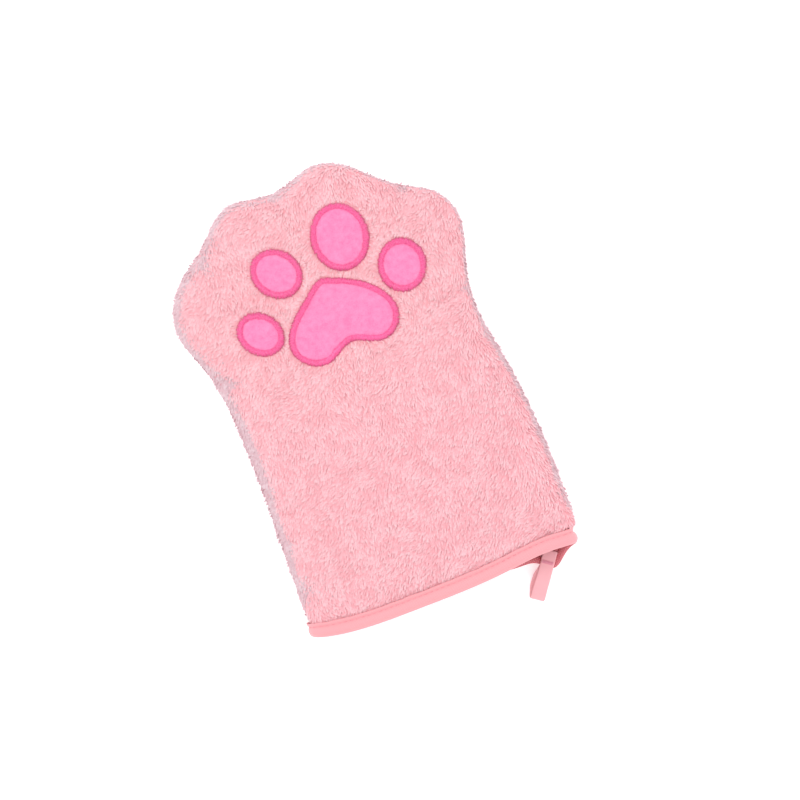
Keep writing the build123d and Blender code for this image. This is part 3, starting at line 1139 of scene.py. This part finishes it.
# %% The loop's tape
LOOP_HALF_WIDTH = 4.0 * MM
LOWER_LEG_SKEW = 1.9 * MM
LOOP_CURL = 0.12 * MM
loop = grid("loop_strap", LOOP_COLUMNS, LOOP_ROWS, loop_weave)
across, along = points_of(loop)[:, 0] * 2 - 1, points_of(loop)[:, 1]
out, high = read_off(path, along).T
skew = LOWER_LEG_SKEW * ease((along - 0.45) / 0.2) * ease((out + 4 * MM) / (8 * MM))
width = across * LOOP_HALF_WIDTH * (1 - 0.03 * np.sin(along * 9)) + skew
lay_weave(loop, along * loop_length, across * LOOP_HALF_WIDTH)
set_points(loop, hinge * (1, 1, 0) + outward * out[:, None] + hinge_axis * width[:, None]
           + upward * (high + LOOP_CURL * across ** 2)[:, None])
apply_modifier(loop, "SOLIDIFY", thickness=LOOP_THICKNESS, offset=0)
apply_modifier(loop, "SUBSURF", levels=1, render_levels=1)
smooth(loop, 60)
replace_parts(loop, "hanging_loop", "loop_tab")
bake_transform(loop)
print("loop", len(loop.data.polygons), "faces")

# %% [markdown]
# A bar tack holds the two ends: a close zigzag across the tape, as wide as the tape nearly.

# %% Bar tack
TACK_COUNT = 16
TACK_HALF_LENGTH = 3.2 * MM
TACK_HALF_WIDTH = 0.9 * MM
TACK_BACK, TACK_LIFT = 5.0 * MM, 0.62 * MM
TACK_SLANT, TACK_BOW = 0.12 * MM, 0.14 * MM
TACK_RADIUS = 0.2 * MM
tack_middle = hinge * (1, 1, 0) - outward * TACK_BACK + upward * (tab_level + TACK_LIFT)
zigzag = []
for index in range(TACK_COUNT):
    side = mix(-TACK_HALF_LENGTH, TACK_HALF_LENGTH, (index + 0.5) / TACK_COUNT)
    zigzag.append([tack_middle + hinge_axis * (side + TACK_SLANT * b) + outward * TACK_HALF_WIDTH * b
                   + upward * TACK_BOW * (1 - b * b) for b in np.linspace(-1, 1, 5)])
bartack = tubes("loop_zigzag", zigzag, TACK_RADIUS, tack_thread)
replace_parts(bartack, "loop_bartack")
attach(bartack, "mitt")
print("bar tack of", TACK_COUNT, "threads")

# %% [markdown]
# ## The plush pile
#
# Plush looks the way it does because its fibres stand in locks, each a few millimetres long and
# bent over its neighbours. A bump map can't throw the ragged edge that the locks make against
# the table, so they are modelled, a little coarser than real ones so that they show. One lock
# starts as a triangle, is extruded and bent three times, first widening a little and then
# narrowing, and its end is drawn to a point. It is shaded flat, as smoothing leaves dark specks
# on a form this thin.

# %% Locks of pile
LOCK_LENGTH = 2.8 * MM
LOCK_STEPS = 3
LOCK_FLATTEN = 0.45


def make_lock(name, width, bend, shades):
    """One lock standing on the origin and bending towards +X, with its shades from root to tip."""
    deselect()
    bpy.ops.mesh.primitive_circle_add(vertices=3, radius=width / 2, fill_type="NGON")
    lock = bpy.context.object
    bpy.ops.object.mode_set(mode="EDIT")
    bpy.ops.mesh.select_all(action="SELECT")
    bpy.ops.transform.resize(value=(LOCK_FLATTEN, 1, 1))
    angle = 0.0
    reach = LOCK_LENGTH / LOCK_STEPS
    for step in range(LOCK_STEPS):
        angle += bend
        move = (reach * math.sin(angle), 0, reach * math.cos(angle))
        bpy.ops.mesh.extrude_region_move(TRANSFORM_OT_translate={"value": move})
        if step < LOCK_STEPS - 1:
            bpy.ops.transform.resize(value=(1.05 - 0.3 * step,) * 3)
    bpy.ops.mesh.merge(type="CENTER")
    bpy.ops.mesh.select_all(action="SELECT")
    face_outwards()
    bpy.ops.object.mode_set(mode="OBJECT")
    lock.name = lock.data.name = name
    for shade in shades:
        lock.data.materials.append(plush[shade])
    top = max(vertex.co.z for vertex in lock.data.vertices)
    # Lower third darker, painted shade; top third paler, painted light.
    for face in lock.data.polygons:
        face.material_index = min(2, int(3 * face.center.z / top))
        face.use_smooth = False
    return lock


LOCK_KINDS = (
    ("lock_a", 1.20, 0.20, ("plush_root", "plush_body", "plush_tip")),
    ("lock_b", 1.00, 0.25, ("plush_root", "plush_body_warm", "plush_body_pale")),
    ("lock_c", 1.35, 0.15, ("plush_body_warm", "plush_body_pale", "plush_tip_pale")),
    ("lock_d", 0.92, 0.28, ("plush_root", "plush_body_pale", "plush_tip")),
    ("lock_e", 1.12, 0.22, ("plush_body_warm", "plush_body", "plush_tip")),
)
lock_shelf = bpy.data.collections.new("lock_shelf")
for name, width, bend, shades in LOCK_KINDS:
    lock = make_lock(name, width * MM, bend, shades)
    for home in list(lock.users_collection):
        home.objects.unlink(lock)
    lock_shelf.objects.link(lock)

# %% [markdown]
# A geometry tree scatters the locks over a wall as a gardener sets out plants: points at random
# but never too close, each with a lock picked from the shelf, turned to lie along the comb
# direction stored on the cloth, tipped and sized a little by chance. The seeds are fixed, so the
# same pile grows each time.


# %% The scatter
def scatter_tree(name, spacing, seed, jitter, size_low, size_high):
    """A geometry tree that replaces a surface with locks of pile standing on it."""
    tree = bpy.data.node_groups.new(name, "GeometryNodeTree")
    tree.interface.new_socket("Geometry", in_out="INPUT", socket_type="NodeSocketGeometry")
    tree.interface.new_socket("Geometry", in_out="OUTPUT", socket_type="NodeSocketGeometry")
    ground = add_node(tree, "NodeGroupInput").outputs[0]
    spots = add_node(tree, "GeometryNodeDistributePointsOnFaces", {"Mesh": ground, "Seed": seed},
                     distribute_method="POISSON")
    spots.inputs["Distance Min"].default_value = spacing
    spots.inputs["Density Max"].default_value = 1.3 / spacing ** 2
    comb = add_node(tree, "GeometryNodeInputNamedAttribute", {"Name": "comb"}, data_type="FLOAT_VECTOR")
    combed = add_node(tree, "FunctionNodeAlignRotationToVector",
                      {"Rotation": spots.outputs["Rotation"], "Vector": comb.outputs["Attribute"]},
                      axis="X", pivot_axis="Z")
    tip, lean, yaw = jitter
    chance = add_node(tree, "FunctionNodeRandomValue", data_type="FLOAT_VECTOR")
    chance.inputs[0].default_value = (-tip, lean - tip, -yaw)
    chance.inputs[1].default_value = (tip, lean + tip, yaw)
    chance.inputs["Seed"].default_value = seed + 1
    turn = add_node(tree, "FunctionNodeEulerToRotation", {"Euler": chance.outputs[0]})
    turned = add_node(tree, "FunctionNodeRotateRotation",
                      {"Rotation": combed.outputs[0], "Rotate By": turn.outputs[0]}, rotation_space="LOCAL")
    size = add_node(tree, "FunctionNodeRandomValue", data_type="FLOAT")
    size.inputs[2].default_value = size_low
    size.inputs[3].default_value = size_high
    size.inputs["Seed"].default_value = seed + 2
    grow = add_node(tree, "GeometryNodeInputNamedAttribute", {"Name": "grow"}, data_type="FLOAT")
    scale = add_node(tree, "ShaderNodeMath", {0: size.outputs[1], 1: grow.outputs["Attribute"]},
                     operation="MULTIPLY")
    shelf = add_node(tree, "GeometryNodeCollectionInfo", {"Collection": lock_shelf,
                     "Separate Children": True, "Reset Children": True})
    pick = add_node(tree, "FunctionNodeRandomValue", data_type="INT")
    pick.inputs[4].default_value = 0
    pick.inputs[5].default_value = len(LOCK_KINDS) - 1
    pick.inputs["Seed"].default_value = seed + 3
    placed = add_node(tree, "GeometryNodeInstanceOnPoints",
                      {"Points": spots.outputs["Points"], "Instance": shelf.outputs[0],
                       "Pick Instance": True, "Instance Index": pick.outputs[2],
                       "Rotation": turned.outputs[0], "Scale": scale.outputs[0]})
    real = add_node(tree, "GeometryNodeRealizeInstances", {"Geometry": placed.outputs[0]})
    done = add_node(tree, "NodeGroupOutput")
    tree.links.new(real.outputs[0], done.inputs[0])
    return tree


# %% [markdown]
# The comb direction follows the lie of the nap, towards the hem, with slow swirls where hands
# have brushed it. Near the rim the locks are short and lean down over the seam. Beside the motif
# they part: they are combed away from the rings, and are a little shorter. A narrow strip of them
# grows on under the edge of the tape, and beyond it there are none.

# %% The bed that a strip of pile grows on
BED_TRIM = -0.5 * MM
TAPE_TRIM = -1.1 * MM


def tape_edge(x, side):
    """Y of the tape's upper edge on one side of the mouth."""
    half, fold = hem_half(side)
    return np.interp(x, half[:, 0], fold) + TAPE_WIDTH


def pile_bed(skin, name, side, rows_from, rows_to):
    """A finer strip of the skin between two shares of its length, cut back from tape and rings."""
    bed = copy_of(skin, name)
    share = np.repeat(np.linspace(0, 1, ROWS + 1), COLUMNS + 1)
    work = bmesh.new()
    work.from_mesh(bed.data)
    work.verts.ensure_lookup_table()
    outside = [face for face in work.faces
               if not rows_from <= np.mean([share[vert.index] for vert in face.verts]) < rows_to]
    bmesh.ops.delete(work, geom=outside, context="FACES")
    bmesh.ops.subdivide_edges(work, edges=work.edges, cuts=1, use_grid_fill=True)
    x, y = np.array([face.calc_center_median() for face in work.faces])[:, :2].T
    drop = y < tape_edge(x, side) + TAPE_TRIM
    if side > 0:
        drop |= pad_gap(x, y)[0] < BED_TRIM
    dropped = [face for face, gone in zip(list(work.faces), drop) if gone]
    bmesh.ops.delete(work, geom=dropped, context="FACES")
    work.to_mesh(bed.data)
    work.free()
    return bed


# %% Comb and growth
COMB_ANGLE = math.radians(-125)
SWIRL = math.radians(60)
SWIRL_SIZE = 30 * MM
SEAM_PULL = 2.5
RIM_GROWTH, TAPE_GROWTH, PARTED_LOSS = 0.52, 0.75, 0.15
UNEVEN_GROWTH, UNEVEN_SIZE = 0.12, 11 * MM
PARTING = 2.2 * MM
BESIDE_TAPE = 4 * MM


def comb_bed(bed, side):
    """The comb direction and the growth of the locks, stored on the bed."""
    points = points_of(bed)
    x, y = points[:, :2].T
    swirl = swell(x, y, SWIRL_SIZE, 30.0 + side) + 0.6 * swell(x, y, SWIRL_SIZE / 2.6, 40.0 + side)
    angle = COMB_ANGLE + SWIRL * swirl
    upright = abs(np.array([vertex.normal.z for vertex in bed.data.vertices]))
    comb = np.stack([np.cos(angle), np.sin(angle), 0 * angle], axis=1) * upright[:, None]
    comb[:, 2] -= side * SEAM_PULL * (1 - upright)
    grow = mix(RIM_GROWTH, 1, ease(upright / 0.85))
    grow *= 1 + UNEVEN_GROWTH * swell(x, y, UNEVEN_SIZE, 50.0 + side)
    if side > 0:
        gap, away = pad_gap(x, y)
        parted = np.exp(-(np.maximum(gap, 0) / PARTING) ** 2)
        comb = mix(comb, away, parted[:, None])
        grow *= 1 - PARTED_LOSS * parted
    grow *= mix(TAPE_GROWTH, 1, ease((y - tape_edge(x, side)) / BESIDE_TAPE))
    bed.data.attributes.new("comb", "FLOAT_VECTOR", "POINT").data.foreach_set("vector", comb.ravel())
    bed.data.attributes.new("grow", "FLOAT", "POINT").data.foreach_set("value", grow)
    return bed


# %% [markdown]
# The shades drift too. In soft patches the locks are one shade warmer or one shade paler, as
# pile is where it has been stroked two ways. Low on the rim the locks get painted sheen: paler,
# greyer shades, most of all on the left, towards the key lamp, and less at the back.

# %% Shades over the pile
SHADE_ORDER = ("plush_root", "plush_body_warm", "plush_body", "plush_body_pale",
               "plush_tip", "plush_tip_pale")
PATCH_SIZE = 9 * MM
PATCH_EDGE, PATCH_SPECKLE = 0.16, 0.06
# How far up the rim the painted sheen reaches, and how it fades from left to right.
RIM_SHEEN_LEVEL, RIM_SHEEN_SPECKLE = 4.3 * MM, 0.6 * MM
RIM_SHEEN_FADE = 160 * MM
RIM_SHEEN_SHARE = {1: 1, -1: 0.4}
PALE_RIM_SHEEN_FROM = 3


def shade_pile(pile, side, seed):
    """Locks a shade warmer or paler in soft patches, and paler, greyer painted sheen by the seam."""
    present = [slot.name for slot in pile.data.materials]
    for shade in ("plush_rim_painted_sheen", "plush_rim_painted_sheen_pale"):
        pile.data.materials.append(plush[shade])
    chance = np.random.default_rng(seed)
    faces = pile.data.polygons
    middles = np.empty(len(faces) * 3)
    faces.foreach_get("center", middles)
    middles = middles.reshape(-1, 3)
    indices = np.empty(len(faces), dtype=int)
    faces.foreach_get("material_index", indices)
    order = np.array([SHADE_ORDER.index(shade) for shade in present])
    back = np.array([present.index(shade) for shade in SHADE_ORDER])
    cloud = swell(middles[:, 0], middles[:, 1], PATCH_SIZE, 60.0 + side)
    cloud += 0.7 * swell(middles[:, 0], middles[:, 1], PATCH_SIZE / 3, 70.0 + side)
    cloud += chance.normal(0, PATCH_SPECKLE, len(faces))
    step = (cloud > PATCH_EDGE).astype(int) - (cloud < -PATCH_EDGE).astype(int)
    rank = np.clip(order[indices] + step, 0, len(SHADE_ORDER) - 1)
    # Low on the rim: painted sheen, paler and greyer, stronger on the left.
    level = side * (middles[:, 2] - seam_height) + chance.normal(0, RIM_SHEEN_SPECKLE, len(faces))
    reach = RIM_SHEEN_LEVEL * np.clip(1 - middles[:, 0] / RIM_SHEEN_FADE, 0.75, 1.3) * RIM_SHEEN_SHARE[side]
    rim_sheen_slot = np.where(rank < PALE_RIM_SHEEN_FROM, len(present), len(present) + 1)
    faces.foreach_set("material_index", np.where(level < reach, rim_sheen_slot, back[rank]))


# %% [markdown]
# Each wall's pile is grown in strips from the hem to the toes, and every strip is a piece of its
# own, so that none gets too heavy. The back is hidden, so its locks stand further apart. A lock
# that would go through the table is pressed flat on it.

# %% Growing the pile
LOCK_LEAN = 1.05
JITTER = (0.2, LOCK_LEAN, 0.35)
SMALLEST, LARGEST = 0.8, 1.2
PRESSED = 0.15 * MM
FRONT_SPACING = 0.58 * MM
BACK_SPACING = 0.85 * MM


def grow_pile(skin, name, side, bands, spacing, seed):
    """The wall's pile as several strips, so that no one piece is too heavy."""
    made = []
    for band in range(bands):
        low = band / bands
        high = (band + 1) / bands if band < bands - 1 else 2
        bed = comb_bed(pile_bed(skin, f"{name}_{band + 1}", side, low, high), side)
        tree = scatter_tree(f"{name}_scatter_{band + 1}", spacing, seed + 10 * band,
                            JITTER, SMALLEST, LARGEST)
        apply_modifier(bed, "NODES", node_group=tree)
        points = points_of(bed)
        points[:, 2] = np.maximum(points[:, 2], PRESSED)
        set_points(bed, points)
        shade_pile(bed, side, seed)
        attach(bed, "mitt")
        print(bed.name, sum(len(face.vertices) - 2 for face in bed.data.polygons), "triangles")
        made.append(bed)
    return made


front_pile = grow_pile(front_skin, "front_pile", 1, 7, FRONT_SPACING, 11)
back_pile = grow_pile(back_skin, "back_pile", -1, 4, BACK_SPACING, 211)

# %% [markdown]
# The skins and the shelf of locks have done their work, and are taken away.

# %% Taking away the spare pieces
for spare in [front_skin, back_skin] + list(lock_shelf.objects):
    bpy.data.objects.remove(spare)

# %% [markdown]
# ## Table and light
#
# A white table that runs on past the view and glows faintly, as a light table does, so that no
# grey ring of shade forms on it. Then a bright even sky, and two large soft lamps, one high on
# the left and a weaker one on the right, so that the pile has a soft side and a shade side.

# %% Table
TABLE_GLOW = 0.3
TABLE_SIZE = 12
table_finish = principled("matt_white_table", "FFFFFF", 0.9, Specular_IOR_Level=0.1,
                          Emission_Strength=TABLE_GLOW)
tree = table_finish.node_tree
place = add_node(tree, "ShaderNodeTexCoord").outputs["Object"]
speck = add_node(tree, "ShaderNodeTexNoise", {"Vector": place, "Scale": 40.0, "Detail": 2})
two_tone(table_finish, speck.outputs["Fac"], "FCFCFC", "FFFFFF")
deselect()
bpy.ops.mesh.primitive_plane_add(size=TABLE_SIZE, location=(0, 0, 0))
table = bpy.context.object
table.name = "table"
table.data.materials.append(table_finish)
table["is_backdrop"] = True
print("table", TABLE_SIZE, "m across")

# %% Sky and lamps
world = bpy.data.worlds.new("studio")
bpy.context.scene.world = world
world.use_nodes = True
sky = world.node_tree.nodes["Background"]
sky.inputs["Color"].default_value = (1, 1, 1, 1)
sky.inputs["Strength"].default_value = 1.02


def softbox(name, place, size, power):
    """A square lamp that looks at the mitt."""
    deselect()
    bpy.ops.object.light_add(type="AREA", location=place)
    lamp = bpy.context.object
    lamp.name = name
    lamp.data.size = size
    lamp.data.energy = power
    lamp.rotation_euler = (-Vector(place)).to_track_quat("-Z", "Y").to_euler()
    return lamp


softbox("key_softbox", (-0.7, 0.9, 1.5), 1.2, 8.5)
softbox("fill_softbox", (1.1, -0.5, 1.3), 1.4, 4)
bpy.context.scene.view_settings.view_transform = "Standard"

# %% [markdown]
# ## Sizes
#
# The soft pieces may stand a little proud of the frame's box; the box of what is shown is printed.

# %% Finish
low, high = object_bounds()
print("visual box in mm", [round(v / MM, 1) for corner in (low, high) for v in corner])
